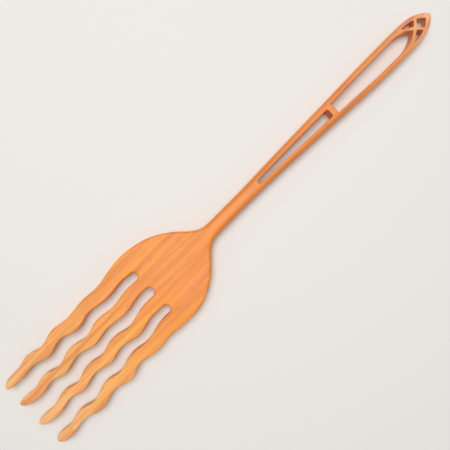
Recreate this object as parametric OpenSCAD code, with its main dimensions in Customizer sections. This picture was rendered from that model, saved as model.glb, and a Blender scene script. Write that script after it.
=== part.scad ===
// Wooden pasta fork, sawn and carved in one piece from a cherry board.
// X runs from the tine tips to the point of the handle, and Z up through the board.
// The origin is under the middle of the fork, on the surface that it lies on.
// The wood is one solid piece: each module is one region of it, and neighbouring
// regions meet on a shared seam with no gap and no overlap.

/* [Tines] */
// Length of the tines, from the tips to the centres of the round slot roots
tine_length = 92.1; // [84:0.1:100]
// Thickness of the wood at the tips
tip_thickness = 3.8; // [3:0.2:6]
// Height of the underside above the table at the tips
tip_lift = 4; // [0:0.2:5]

/* [Head and neck] */
// Greatest width of the head, across the outer tines
head_width = 50; // [44:1:56]
// Length of the head, from the slot roots to the neck
head_length = 48.3; // [44:0.1:56]
// Width of the neck
neck_width = 8.1; // [7:0.1:10]
// Length of the solid neck, from the head to the end of the lower slot
neck_length = 36; // [28:1:48]
// Height of the underside above the table at the neck
neck_lift = 1.2; // [0:0.2:2]
// How far the finial stands to the left of the neck
handle_lean = 1.2; // [0:0.1:3]

/* [Handle] */
// Greatest width of the handle
handle_width = 14.8; // [13:0.2:17]
// Length of the lower slot, which is the narrow one beside the neck
lower_slot_length = 52.6; // [44:0.1:62]
// Width of the lower slot at its round end
lower_slot_start_w = 2.5; // [2:0.1:3]
// Width of the lower slot beside the bridge
lower_slot_end_w = 4.6; // [4:0.1:5]
// Width of the bridge between the two slots, along the handle
bridge_width = 3.1; // [2.6:0.1:5]
// How far the middle of the bridge bulges into the upper slot
bridge_bulge = 0.4; // [0.2:0.1:1]
// Length of the straight part of the upper slot
upper_slot_length = 47.6; // [40:0.1:56]
// Width of the upper slot beside the bridge
upper_slot_start_w = 6.3; // [5.6:0.1:7]
// Width of the upper slot where the ribs spring
upper_slot_end_w = 8.7; // [8:0.1:9.4]

/* [Finial] */
// Length of the pointed end, from where the ribs spring to its point
finial_length = 25.7; // [24:0.1:28]
// Width of each crossing rib
rib_width = 1.7; // [1.2:0.1:2]
// Radius of each rib's curve, along its middle
rib_radius = 21.6; // [20.6:0.2:23]

/* [Board] */
// Thickness of the head
head_thickness = 8.8; // [7:0.2:10]
// Height of the top face above the table at the neck, the thickest place
neck_top = 10; // [9:0.2:11]
// Height of the top face at the bridge
bridge_top = 9.4; // [8:0.2:10]
// Height of the underside above the table at the point of the handle
point_lift = 1.6; // [0:0.2:3]
// Height of the top face at the point of the handle
point_top = 7.6; // [6:0.2:9]

/* [Hidden] */
$fn = 48;

// Stations along the fork, measured from the tine tips
root = tine_length;
neck_start = root + head_length;
slot_start = neck_start + neck_length;
bridge_start = slot_start + lower_slot_length;
bridge_end = bridge_start + bridge_width;
rib_spring = bridge_end + upper_slot_length;
fork_length = rib_spring + finial_length;
head_seam = root + 0.83 * head_length;
arch_seam = rib_spring + 0.18 * finial_length;
land_start = 0.8 * tine_length;
land_end = root + 0.4 * head_length;
handle_land = slot_start + 0.6 * lower_slot_length;
neck_middle = neck_start + 0.4 * neck_length;

// The tables below are drawn for these sizes and are stretched from them to the sizes above
drawn_tine = 92;
drawn_head_w = 50;
drawn_head_l = 48;
drawn_handle_w = 14.8;
drawn_finial_l = 25.7;
along_tine = tine_length / drawn_tine;
across_head = head_width / drawn_head_w;
along_head = head_length / drawn_head_l;
across_handle = handle_width / drawn_handle_w;
along_finial = finial_length / drawn_finial_l;

edge_step = 1.5;
profile_step = 4;
tip_steps = 7;
curve_steps = 5;
tall = 30;
wide = 80;
corner_r = 1;

// Each tine: its tip, where its two edges begin, and the crests and troughs of its right and
// left edges, all as [distance from the tips, sideways place]
outer_right = [
    [0.5, 18.7], 7, 3,
    [[7, 22.2], [13.5, 22.3], [21, 23.9], [30, 21.7], [41, 23.9], [51, 22.6], [64, 23.6], [73, 23], [92, 25.5]],
    [[3, 17.3], [11, 16.8], [19, 17.4], [29, 14.9], [40.5, 17.1], [50.5, 14.1], [61.5, 16.5], [74, 14.7], [86, 15.9],
     [92, 15.2]]
];
inner_right = [
    [0, 7.7], 4.5, 10,
    [[4.5, 9], [11.5, 8.2], [20, 10], [29.5, 7.5], [40.5, 10.2], [51, 8.2], [62, 10.6], [72, 9.3], [85, 10.8],
     [92, 10.5]],
    [[10, 3], [12, 3], [20.5, 4.5], [29, 2.1], [40.5, 4.3], [51.5, 1.8], [62, 3.2], [74.5, 1.9], [88, 3.8],
     [92, 3.6]]
];
inner_left = [
    [0, -7.2], 4, 10,
    [[4, -5.1], [11.5, -5.8], [22, -3.7], [30, -5.8], [40.5, -3], [50, -4.6], [60, -2.4], [71, -4.3], [86, -1.7],
     [92, -1.8]],
    [[10, -11.1], [12, -11.1], [21.5, -9.1], [29.5, -11.4], [41, -9.1], [50.5, -11.3], [60.5, -9.4], [72, -11.5],
     [85, -9.3], [92, -9.5]]
];
outer_left = [
    [0.5, -20.4], 4, 7.5,
    [[4, -18.1], [11, -18.9], [20.5, -17.1], [29.5, -19.3], [41, -16.3], [50, -17.9], [62, -15.4], [72, -16.8],
     [87, -14.2], [92, -14.4]],
    [[7.5, -24.3], [18.5, -22.5], [30, -25.5], [42, -23], [52, -25.3], [62, -22.6], [73, -24.5], [84, -23.6],
     [92, -24.5]]
];
tines = [outer_right, inner_right, inner_left, outer_left];

// Sideways place of the middle line across the head, from the slot roots on
head_sway = [[2, 0.5], [14, 0], [26, 0.1], [46, 0.75]];

// Half-widths of the head from the slot roots to the neck, of the pointed end from where the
// ribs spring, and of the hollow inside its rim. The first and last points only set directions.
head_curve = [[-7, 24.4], [0, 25], [7, 25], [14, 24], [21, 21.6], [28, 17.6], [33.5, 12.9], [38, 8.5], [42.5, 5.3]];
finial_curve = [[8, 7.25], [15.7, 6.5], [20.7, 4.6], [24.3, 2.2], [25.7, 0], [24.3, -2.2]];
finial_hollow = [[5, 4.75], [10.7, 4.9], [15.5, 4.2], [17.9, 3.2], [20.2, 1.7], [22.1, 0], [20.2, -1.7]];

// A smooth swing from 0 to 1
function swing(t) = (1 - cos(180 * t)) / 2;

// Height of a line that turns smoothly at each listed point
function turning(turns, u, i = 0) =
    i == len(turns) - 1 || u <= turns[0][0] ? turns[i][1]
    : u < turns[i + 1][0]
        ? turns[i][1] + (turns[i + 1][1] - turns[i][1]) * swing((u - turns[i][0]) / (turns[i + 1][0] - turns[i][0]))
    : turning(turns, u, i + 1);

// One point of the smooth curve from b to c, where a and d are the points before and after
function between(a, b, c, d, t) =
    b + t * (c - a) / 2 + t * t * (2 * a - 5 * b + 4 * c - d) / 2 + t * t * t * (3 * (b - c) + d - a) / 2;

// The smooth curve through all points but the first and last, which only set its direction
function through(p) = [
    for (i = [1 : len(p) - 3]) for (s = [0 : curve_steps - 1])
        between(p[i - 1], p[i], p[i + 1], p[i + 2], s / curve_steps),
    p[len(p) - 2]
];
function stretched(points, x0, kx, ky) = [for (p = points) [x0 + kx * p[0], ky * p[1]]];
function flipped(points) = [for (i = [len(points) - 1 : -1 : 0]) [points[i][0], -points[i][1]]];
function arc(x, y, r, from, to) = [for (i = [0 : 8]) let (a = from + (to - from) * i / 8) [x + r * cos(a), y + r * sin(a)]];

// One wavy edge of a tine, from where it begins to the slot root
function tine_edge(turns, start) = let (n = ceil((drawn_tine - start) / edge_step))
    [for (i = [0 : n]) let (u = start + (drawn_tine - start) * i / n) [u, turning(turns, u)]];

// The quarter of an oval from a tine's tip to the start of one edge
function tip_edge(tip, start, turns) = let (side = turning(turns, start)) [
    for (i = [0 : tip_steps - 1]) let (a = 90 * i / tip_steps)
        [tip[0] + (start - tip[0]) * (1 - cos(a)), tip[1] + (side - tip[1]) * sin(a)]
];
function backwards(points) = [for (i = [len(points) - 1 : -1 : 0]) points[i]];
function tine_outline(t) = stretched(concat(
    tip_edge(t[0], t[1], t[3]), tine_edge(t[3], t[1]),
    backwards(tine_edge(t[4], t[2])), backwards([for (i = [1 : tip_steps - 1]) tip_edge(t[0], t[2], t[4])[i]])
), 0, along_tine, across_head);

// Centre and radius of the round root between two neighbouring tines
function slot_root(i) = let (a = tines[i][4], b = tines[i + 1][3], high = a[len(a) - 1][1], low = b[len(b) - 1][1])
    [across_head * (high + low) / 2, across_head * (high - low) / 2];

// Sideways place of the fork's middle line, which sways a little from end to end
middle_turns = concat(
    stretched(head_sway, root, along_head, across_head),
    [[slot_start, 0.75 * across_head], [rib_spring - 4, 0.75 * across_head - handle_lean]]
);
function placed(points) = [for (p = points) [p[0], p[1] + turning(middle_turns, p[0])]];
function both_sides(half) = placed(concat(half, flipped(half)));

// Half of the outline of the head and handle, from the slot roots to the point
half_outline = through(concat(
    stretched(head_curve, root, along_head, across_head),
    [[neck_start, neck_width / 2 + 0.1], [neck_start + 10, neck_width / 2], [slot_start - 11, neck_width / 2],
     [slot_start + 4, 0.3 * handle_width], [bridge_start - 4, 0.4 * handle_width],
     [bridge_end + 23, 0.476 * handle_width], [rib_spring - 4, handle_width / 2]],
    stretched(finial_curve, rib_spring, along_finial, across_handle)
));

// One long side of the lower slot
function slot_side(side) = [
    for (i = [1 : 8]) let (t = i / 9)
        [slot_start + t * lower_slot_length, side * (lower_slot_start_w + t * (lower_slot_end_w - lower_slot_start_w)) / 2]
];

// Half of the outline inside the upper slot and the finial's rim, from the bridge to the point
half_hollow = concat(
    [[bridge_end, upper_slot_start_w / 2]],
    through(concat(
        [[bridge_end - 10, upper_slot_start_w / 2 - 0.2], [bridge_end + 5, upper_slot_start_w / 2 + 0.15],
         [bridge_end + 0.6 * upper_slot_length, 0.48 * upper_slot_end_w], [rib_spring, upper_slot_end_w / 2]],
        stretched(finial_hollow, rib_spring, along_finial, across_handle)
    ))
);

function underside(u) =
    u < land_start ? tip_lift * pow(1 - u / land_start, 2)
    : turning([[land_end, 0], [neck_middle, neck_lift], [handle_land, 0], [arch_seam - 8, 0], [fork_length, point_lift]], u);
function top_face(u) =
    u < land_start ? head_thickness - (head_thickness - tip_thickness - tip_lift) * pow(1 - u / land_start, 2)
    : turning([[land_end, head_thickness], [neck_middle, neck_top], [bridge_end, bridge_top],
               [rib_spring - 15, bridge_top - 0.4], [fork_length, point_top]], u);

// The whole board seen from the side, as wide as needed
module side_profile() {
    n = round(fork_length / profile_step);
    stations = [for (i = [0 : n]) fork_length * i / n];
    rotate([90, 0, 0]) linear_extrude(height = wide, center = true) polygon(concat(
        [for (u = stations) [u, underside(u)]], [for (i = [n : -1 : 0]) [stations[i], top_face(stations[i])]]
    ));
}

// Cuts the board to a plan view and puts the middle of the fork over the origin
module carve(tint) {
    color(tint) translate([-fork_length / 2, 0, 0]) intersection() {
        linear_extrude(height = tall, center = true) children();
        side_profile();
    }
}

module stretch(from, to, low = -wide / 2, high = wide / 2) {
    translate([from, low]) square([to - from, high - low]);
}
module one_side(from, to, side) {
    middle = turning(middle_turns, rib_spring);
    if (side > 0) stretch(from, to, low = middle);
    else stretch(from, to, high = middle);
}

// The whole head and handle seen from above, before any slot is sawn
module blank_plan() {
    polygon(both_sides(half_outline));
}

// The space inside the rails and the rim, from the bridge to the point
module hollow_plan() {
    polygon(both_sides(half_hollow));
}
module lower_slot_plan() {
    start_r = lower_slot_start_w / 2;
    end_r = lower_slot_end_w / 2;
    polygon(placed(concat(
        arc(slot_start, 0, start_r, 90, 270), slot_side(-1),
        arc(bridge_start - corner_r, corner_r - end_r, corner_r, 270, 360),
        arc(bridge_start - corner_r, end_r - corner_r, corner_r, 0, 90), backwards(slot_side(1))
    )));
}
module rib_ring(side) {
    middle = turning(middle_turns, rib_spring);
    intersection() {
        stretch(rib_spring, fork_length);
        translate([rib_spring, middle + side * (upper_slot_end_w / 2 + rib_width / 2 - rib_radius)]) difference() {
            circle(r = rib_radius + rib_width / 2, $fn = 160);
            circle(r = rib_radius - rib_width / 2, $fn = 160);
        }
    }
}
module bridge_bow() {
    half = upper_slot_start_w / 2;
    bow_r = (half * half + bridge_bulge * bridge_bulge) / (2 * bridge_bulge);
    intersection() {
        stretch(bridge_end - bridge_width / 2, fork_length);
        translate([bridge_end + bridge_bulge - bow_r, turning(middle_turns, bridge_end)]) circle(r = bow_r, $fn = 96);
    }
}
module between_rails() {
    low_half = lower_slot_end_w / 2;
    high_half = upper_slot_start_w / 2;
    polygon(both_sides([
        [bridge_start - corner_r, low_half], [bridge_start, low_half],
        [bridge_end, high_half], [bridge_end + bridge_bulge, high_half]
    ]));
}

module tine(i) {
    carve("#F2AE6E") polygon(tine_outline(tines[i]));
}
module tine_outer_right() tine(0);
module tine_inner_right() tine(1);
module tine_inner_left() tine(2);
module tine_outer_left() tine(3);
module head() {
    carve("#EE9B56") difference() {
        intersection() {
            blank_plan();
            stretch(root, head_seam);
        }
        for (i = [0 : 2]) translate([root, slot_root(i)[0]]) circle(r = slot_root(i)[1]);
    }
}
module neck() {
    carve("#DF8A49") difference() {
        intersection() {
            blank_plan();
            stretch(head_seam, slot_start);
        }
        lower_slot_plan();
    }
}
module rail(side) {
    carve("#DD8B52") difference() {
        intersection() {
            blank_plan();
            one_side(slot_start, arch_seam, side);
        }
        lower_slot_plan();
        between_rails();
        difference() {
            hollow_plan();
            rib_ring(side);
        }
    }
}
module rail_right() rail(1);
module rail_left() rail(-1);
module bridge() {
    carve("#E39A60") difference() {
        between_rails();
        lower_slot_plan();
        difference() {
            stretch(bridge_end - bridge_width / 4, rib_spring);
            bridge_bow();
        }
    }
}
module arch(side) {
    carve("#E59C66") difference() {
        intersection() {
            blank_plan();
            one_side(arch_seam, fork_length + 1, side);
        }
        hollow_plan();
    }
}
module arch_right() arch(1);
module arch_left() arch(-1);

// One rib as sawn, within the rim
module rib_plan(side) {
    intersection() {
        hollow_plan();
        rib_ring(side);
        stretch(arch_seam, fork_length);
    }
}
module rib_right() {
    carve("#EBA872") rib_plan(1);
}
// The left rib is in two lengths, one on each side of the right rib that crosses it
module rib_left() {
    carve("#EBA872") difference() {
        rib_plan(-1);
        rib_ring(1);
    }
}

tine_outer_right();
tine_inner_right();
tine_inner_left();
tine_outer_left();
head();
neck();
rail_right();
rail_left();
bridge();
arch_right();
arch_left();
rib_right();
rib_left();
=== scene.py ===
import math

import bpy
import numpy as np
from mathutils.bvhtree import BVHTree
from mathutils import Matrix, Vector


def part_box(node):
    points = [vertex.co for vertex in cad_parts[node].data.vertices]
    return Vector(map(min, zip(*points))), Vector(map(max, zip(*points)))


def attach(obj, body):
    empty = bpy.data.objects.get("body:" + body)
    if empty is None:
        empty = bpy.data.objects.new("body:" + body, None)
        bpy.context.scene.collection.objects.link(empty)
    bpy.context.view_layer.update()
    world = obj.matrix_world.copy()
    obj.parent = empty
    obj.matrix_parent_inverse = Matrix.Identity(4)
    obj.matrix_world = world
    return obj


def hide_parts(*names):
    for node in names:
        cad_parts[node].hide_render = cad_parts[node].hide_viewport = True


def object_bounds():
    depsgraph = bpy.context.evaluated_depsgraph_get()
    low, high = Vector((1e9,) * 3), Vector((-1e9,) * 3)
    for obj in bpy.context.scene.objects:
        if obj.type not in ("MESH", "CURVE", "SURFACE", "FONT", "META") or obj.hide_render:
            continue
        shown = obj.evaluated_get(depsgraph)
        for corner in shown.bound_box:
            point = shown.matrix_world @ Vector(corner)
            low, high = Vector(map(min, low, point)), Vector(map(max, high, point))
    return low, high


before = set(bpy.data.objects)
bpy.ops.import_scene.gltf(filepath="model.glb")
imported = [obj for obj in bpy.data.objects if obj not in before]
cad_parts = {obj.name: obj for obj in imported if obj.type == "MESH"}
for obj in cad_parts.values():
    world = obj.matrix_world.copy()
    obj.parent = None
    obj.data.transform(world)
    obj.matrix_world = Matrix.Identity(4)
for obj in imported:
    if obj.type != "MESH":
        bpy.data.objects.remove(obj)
cadLow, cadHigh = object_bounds()
mm = 0.001

# Where the regions of the board meet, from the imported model
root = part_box("head")[0].x
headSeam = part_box("neck")[0].x
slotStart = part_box("rail_right")[0].x
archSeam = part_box("arch_right")[0].x
bridgeStart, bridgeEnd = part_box("bridge")[0].x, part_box("bridge")[1].x
tips, point = cadLow.x, cadHigh.x


def select(*objects):
    if bpy.context.object and bpy.context.object.mode != "OBJECT":
        bpy.ops.object.mode_set(mode="OBJECT")
    bpy.ops.object.select_all(action="DESELECT")
    for each in objects:
        each.select_set(True)
    bpy.context.view_layer.objects.active = objects[0]


def points(obj):
    found = np.empty(len(obj.data.vertices) * 3)
    obj.data.vertices.foreach_get("co", found)
    return found.reshape(-1, 3)


def pickFaces(obj, chosen):
    # leaves edit mode open with just these faces selected
    select(obj)
    mesh = obj.data
    mesh.vertices.foreach_set("select", np.zeros(len(mesh.vertices), bool))
    mesh.edges.foreach_set("select", np.zeros(len(mesh.edges), bool))
    mesh.polygons.foreach_set("select", chosen)
    bpy.context.tool_settings.mesh_select_mode = (False, False, True)
    bpy.ops.object.mode_set(mode="EDIT")


def applied(obj, kind, **settings):
    select(obj)
    modifier = obj.modifiers.new(kind, kind)
    for name, value in settings.items():
        setattr(modifier, name, value)
    bpy.ops.object.modifier_apply(modifier=modifier.name)


blank = {
    "faceSize": 0.32 * mm,  # the carved surface is made of faces this wide
    "overlap": 0.02 * mm,  # each region reaches this far into its neighbours, so that no gap is left
    "weld": 0.001 * mm,  # corners closer than this are one
    "midHeight": 5.5 * mm,  # above every point of the underside, and below every point of the top face
}
walls = {
    "beside": 0.1 * mm,  # a wall has no wood this far outside it
    "levelness": 0.3,  # a face that looks up or down more than this is no wall
    "slotsFrom": slotStart - 2 * mm,  # the handle's slots lie beyond this place
    "stretch": 20,  # the ribbons are this much taller than the walls, so that all heights find them
}


def sawnBlank():
    # copies of the CAD regions, glued into one board
    copies = []
    for name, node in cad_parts.items():
        copy = bpy.data.objects.new(name + "Copy", node.data.copy())
        bpy.context.scene.collection.objects.link(copy)
        select(copy)
        bpy.ops.object.mode_set(mode="EDIT")
        bpy.ops.mesh.select_all(action="SELECT")
        bpy.ops.mesh.remove_doubles(threshold=blank["weld"])
        bpy.ops.transform.shrink_fatten(value=blank["overlap"], use_even_offset=True)
        bpy.ops.object.mode_set(mode="OBJECT")
        copies.append(copy)
    board = copies[0]
    for other in copies[1:]:
        applied(board, "BOOLEAN", operation="UNION", solver="EXACT", object=other)
        bpy.data.objects.remove(other)
    board.name = "board"
    return board


def cadShape():
    # corners and faces of all the CAD regions together
    corners, faces = [], []
    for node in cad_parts.values():
        faces += [[len(corners) + v for v in face.vertices] for face in node.data.polygons]
        corners += [v.co for v in node.data.vertices]
    return corners, faces


def sawnWalls(corners, faces):
    # the sawn sides as tall ribbons: those of the outline, and those of the handle's slots
    wood = BVHTree.FromPolygons(corners, faces)
    around, inside = [], []
    for face in faces:
        a, b, c = (corners[v] for v in face)
        outward = (b - a).cross(c - a).normalized()
        beside = (a + b + c) / 3 + walls["beside"] * outward
        below = (beside.x, beside.y, cadLow.z - mm)
        if abs(outward.z) > walls["levelness"] or wood.ray_cast(below, (0, 0, 1))[0]:
            continue
        facesWood = beside.x > walls["slotsFrom"] and wood.ray_cast(beside, outward)[0]
        (inside if facesWood else around).append(face)
    tall = [(v.x, v.y, walls["stretch"] * (v.z - cadHigh.z / 2)) for v in corners]
    return BVHTree.FromPolygons(tall, around), BVHTree.FromPolygons(tall, inside)


def sideView(corners):
    # heights of the underside and the top face along the fork
    place = np.array(corners)
    place = place[np.argsort(place[:, 0])]
    high = place[:, 2] > blank["midHeight"]
    return place[~high], place[high]


corners, faces = cadShape()
outline, slots = sawnWalls(corners, faces)
underLine, topLine = sideView(corners)
board = sawnBlank()
applied(board, "REMESH", mode="VOXEL", voxel_size=blank["faceSize"], use_smooth_shade=True)
print("blank:", len(board.data.polygons), "faces")


carving = {
    # how far each corner is rolled over, at distances from the tine tips (mm)
    "outlineAt": [0, 60, 92, 112, 128, 142, 176, 232, 276, 290, 305],
    "outlineRoll": [0.8, 0.9, 0.9, 1.1, 1.7, 2.7, 3.0, 2.7, 2.2, 1.5, 1.1],
    "slotAt": [176, 230, 280, 305],
    "slotRoll": [0.45, 0.5, 0.45, 0.4],
    "reach": 1.5,  # points within this many rolls of a wall are moved
    "fullest": 0.98,  # the most that a roll may take of half the thickness
    "smoothing": 3,  # passes
    "smoothingFactor": 0.5,
}


def rollCorners(fork, wall, stations, rolls):
    # rounds the edges between the sawn walls and the two faces: the points near an edge move onto a
    # quarter round, and those left outside the wall by the even faces move back to it
    place = points(fork)
    roll = np.interp(place[:, 0] - tips, np.array(stations) * mm, np.array(rolls) * mm)
    top = np.interp(place[:, 0], topLine[:, 0], topLine[:, 2])
    under = np.interp(place[:, 0], underLine[:, 0], underLine[:, 2])
    middle, half = (top + under) / 2, (top - under) / 2
    roll = np.minimum(roll, carving["fullest"] * half)
    place[:, 2] = np.clip(place[:, 2], under, top)
    for i, (x, y, z) in enumerate(place):
        near, outward, _, _ = wall.find_nearest((x, y, z), carving["reach"] * roll[i])
        if near is None:
            continue
        deep = (near.x - x) * outward.x + (near.y - y) * outward.y
        # how far in from the wall and from the face the point lies, both from the centre of the round
        inward = max(deep, 0) - roll[i]
        below = half[i] - abs(z - middle[i]) - roll[i]
        if inward < 0 and below < 0 and inward * inward + below * below > roll[i] ** 2:
            shrink = roll[i] / math.hypot(inward, below)
            inward, below = inward * shrink, below * shrink
        shift = deep - inward - roll[i]
        place[i] = (x + outward.x * shift, y + outward.y * shift,
                    middle[i] + math.copysign(half[i] - roll[i] - below, z - middle[i]))
    fork.data.vertices.foreach_set("co", place.ravel())
    fork.data.update()


rollCorners(board, outline, carving["outlineAt"], carving["outlineRoll"])
rollCorners(board, slots, carving["slotAt"], carving["slotRoll"])
applied(board, "SMOOTH", factor=carving["smoothingFactor"], iterations=carving["smoothing"])
print("carving: corners rolled")


regions = {
    # CAD region: piece
    "tine_outer_right": "tineOuterRight",
    "tine_inner_right": "tineInnerRight",
    "tine_inner_left": "tineInnerLeft",
    "tine_outer_left": "tineOuterLeft",
    "head": "headBlade",
    "neck": "neckStem",
    "rail_right": "railRight",
    "rail_left": "railLeft",
    "bridge": "bridgeBar",
    "arch_right": "archRight",
    "arch_left": "archLeft",
    "rib_right": "ribRight",
    "rib_left": "ribLeft",
}
saw = {
    "reach": 40,  # longer than any cross cut (mm)
    "beside": 0.5,  # faces this close to a cut are sawn (mm)
    "exact": 0.0005,  # points this close to a cut lie on it (mm)
    "beyond": 0.4,  # a cut's own points may lie past its ends by this share of its length
    "crumb": 20,  # a loose part with fewer faces than this is dust
    "mostParts": 12,  # more loose parts than this mean that a cut went astray
    "merge": 1e-7,  # points this close to a cut (m) move onto it
    "flatFace": 8,  # only a sawn face has more corners than this
    # the cuts beside the bridge, in mm: how far they start before it and end past it, and how far out
    "bridge": {"before": 0.6, "past": 0.7, "right": (2.15, 2.9), "left": (-1.93, -2.86)},
    "ribEndFrom": 8,  # the rib's short length starts farther beyond the arches' start than this (mm)
}
ends = {
    # seams near the handle's end: distance beyond the arches' start, and sideways from the middle (mm)
    "middle": -0.45,
    "ribRoot": [(-0.1, 5.33), (4.4, 4.55)],
    "ribEnd": [(11.36, 3.7), (13.6, 2.58)],
    "nearCross": [(7.59, 0), (9.15, -1.82)],
    "farCross": [(9.71, 1.82), (11.27, 0)],
    "point": [(16.2, 0), (22, 0)],
}


def touching(obj, a, b):
    # which faces come close to the line from a to b, seen from above
    place = points(obj)[:, :2]
    share = np.clip((place - a) @ (b - a) / ((b - a) @ (b - a)), 0, 1)
    near = np.linalg.norm(place - a - share[:, None] * (b - a), axis=1) < saw["beside"] * mm
    corner = np.empty(len(obj.data.loops), int)
    obj.data.loops.foreach_get("vertex_index", corner)
    first = np.empty(len(obj.data.polygons), int)
    obj.data.polygons.foreach_get("loop_start", first)
    return np.logical_or.reduceat(near[corner], first)


def across(a, b):
    # the level direction at right angles to a cut
    return np.array([b[1] - a[1], a[0] - b[0]]) / np.linalg.norm(b - a)


def sawnEdges(obj, a, b):
    # the edges that a saw cut from a to b has just made
    place = points(obj)[:, :2]
    on = abs((place - a) @ across(a, b)) < saw["exact"] * mm
    share = (place - a) @ (b - a) / ((b - a) @ (b - a))
    on &= (share > -saw["beyond"]) & (share < 1 + saw["beyond"])
    pair = np.empty(2 * len(obj.data.edges), int)
    obj.data.edges.foreach_get("vertices", pair)
    return on[pair.reshape(-1, 2)].all(1)


def sawApart(part, cuts):
    # saws along each line, and closes the sawn faces of every loose part
    for line in cuts:
        a, b = np.array(line)
        pickFaces(part, touching(part, a, b))
        bpy.ops.mesh.bisect(plane_co=(*a, 0), plane_no=(*across(a, b), 0), threshold=saw["merge"])
        bpy.ops.mesh.select_all(action="DESELECT")
        bpy.ops.object.mode_set(mode="OBJECT")
        part.data.edges.foreach_set("select", sawnEdges(part, a, b))
        bpy.context.tool_settings.mesh_select_mode = (False, True, False)
        bpy.ops.object.mode_set(mode="EDIT")
        bpy.ops.mesh.edge_split(type="EDGE")
    bpy.ops.mesh.select_all(action="SELECT")
    bpy.ops.mesh.separate(type="LOOSE")
    bpy.ops.object.mode_set(mode="OBJECT")
    loose = list(bpy.context.selected_objects)
    for crumb in [each for each in loose if len(each.data.polygons) < saw["crumb"]]:
        loose.remove(crumb)
        bpy.data.objects.remove(crumb)
    if len(loose) > saw["mostParts"]:
        raise RuntimeError("a saw cut went astray")
    for each in loose:
        select(each)
        bpy.ops.object.mode_set(mode="EDIT")
        bpy.ops.mesh.select_all(action="SELECT")
        bpy.ops.mesh.fill_holes(sides=0)
        bpy.ops.object.mode_set(mode="OBJECT")
    return loose


def handleEnd(line, side=1):
    # a seam near the handle's end, in metres; side -1 mirrors it
    return [(archSeam + x * mm, (ends["middle"] + side * y) * mm) for x, y in line]


def besideBridge(sideways):
    first, last = sideways
    return [(bridgeStart - saw["bridge"]["before"] * mm, first * mm),
            (bridgeEnd + saw["bridge"]["past"] * mm, last * mm)]


def boxOf(obj):
    place = points(obj)
    return np.concatenate([place.min(0), place.max(0)])


# the uncut fork's shading, kept so that no seam shows after the sawing
normals = np.empty(len(board.data.vertices) * 3)
board.data.vertices.foreach_get("normal", normals)
board.data.attributes.new("carvedNormal", "FLOAT_VECTOR", "POINT").data.foreach_set("vector", normals)

parts = sawApart(board, [[(x, -saw["reach"] * mm), (x, saw["reach"] * mm)]
                         for x in (root, headSeam, slotStart, archSeam)])
handle = min(parts, key=lambda part: abs(points(part)[:, 0].mean() - (slotStart + archSeam) / 2))
finial = max(parts, key=lambda part: points(part)[:, 0].mean())
parts.remove(handle)
parts.remove(finial)
parts += sawApart(handle, [besideBridge(saw["bridge"]["right"]), besideBridge(saw["bridge"]["left"])])
parts += sawApart(finial, [handleEnd(ends["ribRoot"]), handleEnd(ends["ribRoot"], -1),
                           handleEnd(ends["ribEnd"]), handleEnd(ends["ribEnd"], -1),
                           handleEnd(ends["nearCross"]), handleEnd(ends["farCross"]),
                           handleEnd(ends["point"])])


def dressed(region, parts):
    # joins what belongs to a region, and shades it as the uncut fork, with flat sawn faces inside
    piece = parts[0]
    select(*parts)
    if len(parts) > 1:
        bpy.ops.object.join()
    piece.name = regions[region]
    mesh = piece.data
    mesh.name = piece.name
    bpy.ops.object.shade_smooth()
    carved = np.empty(len(mesh.vertices) * 3)
    mesh.attributes["carvedNormal"].data.foreach_get("vector", carved)
    corner = np.empty(len(mesh.loops), int)
    mesh.loops.foreach_get("vertex_index", corner)
    normal = carved.reshape(-1, 3)[corner]
    for face in mesh.polygons:
        if len(face.vertices) > saw["flatFace"]:
            normal[list(face.loop_indices)] = face.normal
    mesh.attributes.remove(mesh.attributes["carvedNormal"])
    mesh.normals_split_custom_set(normal)
    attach(piece, "root")
    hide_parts(region)
    return piece


def regionOf(part):
    # the CAD region whose box is most like the part's own
    if boxOf(part)[0] > archSeam + saw["ribEndFrom"] * mm:
        return "rib_left"  # its short length beyond the crossing

    def unlike(region):
        low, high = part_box(region)
        return abs(np.array([*low, *high]) - boxOf(part)).sum()
    return min(regions, key=unlike)


partsOf = {region: [] for region in regions}
for part in parts:
    partsOf[regionOf(part)].append(part)
pieces = [dressed(region, found) for region, found in partsOf.items()]
for piece in pieces:
    print("piece:", piece.name, len(piece.data.polygons), "faces", (boxOf(piece) * 1000).round(1))


def hexColour(text):
    # an sRGB hex colour as linear red, green, blue and alpha
    parts = [int(text[i:i + 2], 16) / 255 for i in (1, 3, 5)]
    return [c / 12.92 if c < 0.04045 else ((c + 0.055) / 1.055) ** 2.4 for c in parts] + [1]


def addNode(tree, kind, inputs=(), **settings):
    node = tree.nodes.new(kind)
    for name, value in settings.items():
        setattr(node, name, value)
    for name, value in dict(inputs).items():
        if isinstance(value, bpy.types.NodeSocket):
            tree.links.new(value, node.inputs[name])
        else:
            node.inputs[name].default_value = value
    return node


def setStops(ramp, stops, ease="EASE"):
    # stops are [place, grey value or hex colour]
    ramp.color_ramp.interpolation = ease
    elements = ramp.color_ramp.elements
    while len(elements) < len(stops):
        elements.new(1)
    for element, (place, colour) in zip(elements, stops):
        element.position = place
        element.color = hexColour(colour) if isinstance(colour, str) else (colour, colour, colour, 1)
    return ramp.outputs["Color"]


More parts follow.
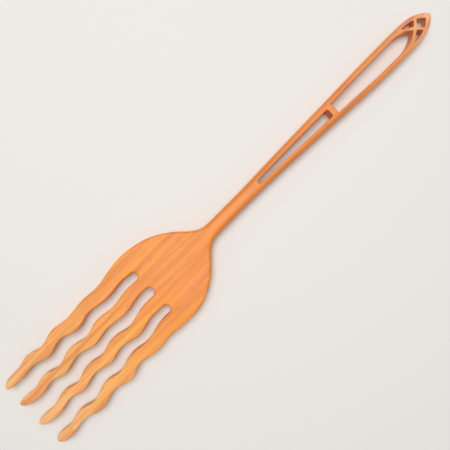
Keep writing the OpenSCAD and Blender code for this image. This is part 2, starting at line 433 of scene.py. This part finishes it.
cherry = {
    # colour along the fork from the tine tips to the point of the handle, lighter towards both ends and
    # darker in the middle
    "board": [[0.0, "#FFCB8A"], [0.15, "#FFBC66"], [0.3, "#FFA22E"], [0.43, "#FC9826"],
              [0.52, "#F4922A"], [0.66, "#F09238"], [0.88, "#F09C52"], [0.95, "#FAB27A"], [1.0, "#FFC298"]],
    "lateWood": "#C4682C",
    "blush": "#F98A58",
    "pore": "#9C4E24",
    "ringWidth": 5.2,  # mm from one growth ring to the next, outward from the pith
    "pith": {"Location": (4, 47, 62), "Scale": (0.05, 1, 1), "Rotation": (0, 0, math.radians(1.5))},
    "swing": 1.6,  # the most rings that the wandering moves
    # patterns drawn out along the grain: mm long and wide, how fine, and degrees turned from the grain
    "patterns": {
        "wander": {"size": (60, 14), "detail": 2.0},
        "streak": {"size": (70, 2.2), "detail": 3.0},
        "fibre": {"size": (11, 0.42), "detail": 4.0},
        "blotch": {"size": (26, 9), "detail": 2.0, "turn": 8},
        # real pores are a tenth of a millimetre wide, and too fine to show
        "pore": {"size": (4.5, 0.34), "detail": 1.0},
    },
    "noiseRoughness": 0.55,
    # how strongly each is drawn
    "depth": {"ring": 0.44, "streak": 0.44, "blotch": 0.30, "fibre": 0.34, "pore": 0.6},
    # ramps from each pattern's value to its strength
    "ringStops": [[0, 0.15], [0.3, 0], [0.62, 0.25], [0.86, 1], [1, 0.15]],
    "streakStops": [[0.36, 0], [0.66, 1]],
    "blotchStops": [[0.42, 0], [0.72, 1]],
    "poreStops": [[0.66, 0], [0.76, 1]],
    "ior": 1.48,
    "roughness": (0.40, 0.52),
    "poreDip": -0.6,  # against the height of the fibres
    "bump": {"Strength": 0.35, "Distance": 0.05 * mm},
}


def grainNoise(tree, place, size, detail, turn=0.0):
    long, thin = size
    stretched = addNode(tree, "ShaderNodeMapping", {
        "Vector": place, "Scale": (1 / long, 1 / thin, 1 / thin), "Rotation": (0, 0, math.radians(turn))})
    return addNode(tree, "ShaderNodeTexNoise", {
        "Vector": stretched.outputs[0], "Scale": 1.0, "Detail": detail,
        "Roughness": cherry["noiseRoughness"]}).outputs["Fac"]


def oiledCherry():
    # Black cherry, planed, carved and sanded, then rubbed with oil: a warm satin surface whose
    # growth rings and fibres run along the fork, with short dark pores and soft pinkish blotches.
    material = bpy.data.materials.new("oiledCherry")
    material.use_nodes = True
    tree = material.node_tree
    shader = tree.nodes["Principled BSDF"]
    shader.inputs["IOR"].default_value = cherry["ior"]
    own = addNode(tree, "ShaderNodeTexCoord").outputs["Object"]
    # from metres to millimetres
    place = addNode(tree, "ShaderNodeMapping", {"Vector": own, "Scale": (1000, 1000, 1000)}).outputs[0]

    along = addNode(tree, "ShaderNodeSeparateXYZ", {"Vector": place})
    share = addNode(tree, "ShaderNodeMapRange", {"Value": along.outputs["X"], "From Min": tips / mm,
                                                 "From Max": point / mm})
    # colour along the fork, lighter towards both ends and darker in the middle
    board = setStops(addNode(tree, "ShaderNodeValToRGB", {"Fac": share.outputs[0]}),
                     cherry["board"], "LINEAR")

    # growth rings: long shells round a pith that lay below and beside the board
    patterns = cherry["patterns"]
    wander = grainNoise(tree, place, **patterns["wander"])
    pith = addNode(tree, "ShaderNodeMapping", {"Vector": place, **cherry["pith"]})
    shell = addNode(tree, "ShaderNodeVectorMath", {0: pith.outputs[0]}, operation="LENGTH").outputs["Value"]
    swing = addNode(tree, "ShaderNodeMath", {0: wander, 1: cherry["swing"]},
                    operation="MULTIPLY").outputs[0]
    count = addNode(tree, "ShaderNodeMath", {0: shell, 1: 1 / cherry["ringWidth"], 2: swing},
                    operation="MULTIPLY_ADD").outputs[0]
    turn = addNode(tree, "ShaderNodeMath", {0: count}, operation="FRACT").outputs[0]

    def ramped(value, stops):
        return setStops(addNode(tree, "ShaderNodeValToRGB", {"Fac": value}), stops)

    ring = ramped(turn, cherry["ringStops"])
    streak = ramped(grainNoise(tree, place, **patterns["streak"]), cherry["streakStops"])
    fibre = grainNoise(tree, place, **patterns["fibre"])
    blotch = ramped(grainNoise(tree, place, **patterns["blotch"]), cherry["blotchStops"])
    pore = ramped(grainNoise(tree, place, **patterns["pore"]), cherry["poreStops"])

    def stained(colour, mask, depth, stain):
        share = addNode(tree, "ShaderNodeMath", {0: mask, 1: cherry["depth"][depth]},
                        operation="MULTIPLY").outputs[0]
        mix = addNode(tree, "ShaderNodeMix", {"Factor": share}, data_type="RGBA")
        # the colour sockets are found by number, since every kind of pair on this node is called A and B
        tree.links.new(colour, mix.inputs[6])
        mix.inputs[7].default_value = hexColour(stain)
        return mix.outputs[2]

    colour = stained(board, ring, "ring", cherry["lateWood"])
    colour = stained(colour, streak, "streak", cherry["lateWood"])
    colour = stained(colour, blotch, "blotch", cherry["blush"])
    colour = stained(colour, fibre, "fibre", cherry["lateWood"])
    colour = stained(colour, pore, "pore", cherry["pore"])
    tree.links.new(colour, shader.inputs["Base Color"])

    gloss = addNode(tree, "ShaderNodeMapRange", {"Value": fibre, "To Min": cherry["roughness"][0],
                                                 "To Max": cherry["roughness"][1]}).outputs[0]
    tree.links.new(gloss, shader.inputs["Roughness"])
    relief = addNode(tree, "ShaderNodeMath", {0: pore, 1: cherry["poreDip"], 2: fibre},
                     operation="MULTIPLY_ADD").outputs[0]
    bump = addNode(tree, "ShaderNodeBump", {"Height": relief, **cherry["bump"]})
    tree.links.new(bump.outputs[0], shader.inputs["Normal"])
    return material


wood = oiledCherry()
for piece in pieces:
    piece.data.materials.clear()
    piece.data.materials.append(wood)
print("finish: oiled cherry on", len(pieces), "pieces")


studio = {
    "floorSize": 4,
    "floor": "#E2E0DC",
    "floorRoughness": 0.8,
    "sky": "#F4F2EF",
    "skyStrength": 0.4,
    "keyPlace": (0.07, 0.16, 0.95),
    "keyPower": 7.8,
    "keySize": 0.6,
    "eye": (-5.8 * mm, -1.7 * mm, 259 * mm),  # nearly straight above the fork
    "eyeTurn": (-0.0029, -0.0009, math.radians(-45.18)),
    "sensor": 36,
    "lens": 37.365,
    "clip": 0.01,
}

bpy.ops.object.select_all(action="DESELECT")
bpy.ops.mesh.primitive_plane_add(size=studio["floorSize"])
floor = bpy.context.object
floor.name = "floor"
matt = bpy.data.materials.new("mattPaper")
matt.use_nodes = True
matt.node_tree.nodes["Principled BSDF"].inputs["Base Color"].default_value = hexColour(studio["floor"])
matt.node_tree.nodes["Principled BSDF"].inputs["Roughness"].default_value = studio["floorRoughness"]
floor.data.materials.append(matt)

world = bpy.data.worlds.new("studio")
bpy.context.scene.world = world
world.use_nodes = True
sky = world.node_tree.nodes["Background"]
sky.inputs["Color"].default_value = hexColour(studio["sky"])
sky.inputs["Strength"].default_value = studio["skyStrength"]
bpy.ops.object.light_add(type="AREA", location=studio["keyPlace"])
key = bpy.context.object
key.data.energy = studio["keyPower"]
key.data.size = studio["keySize"]
key.rotation_euler = key.location.to_track_quat("Z", "Y").to_euler()

bpy.ops.object.camera_add(location=studio["eye"], rotation=studio["eyeTurn"])
camera = bpy.context.object
camera.data.sensor_width = studio["sensor"]
camera.data.lens = studio["lens"]
camera.data.clip_start = studio["clip"]
bpy.context.scene.camera = camera
bpy.context.scene.view_settings.view_transform = "Standard"

print("stage: floor, light and camera set")
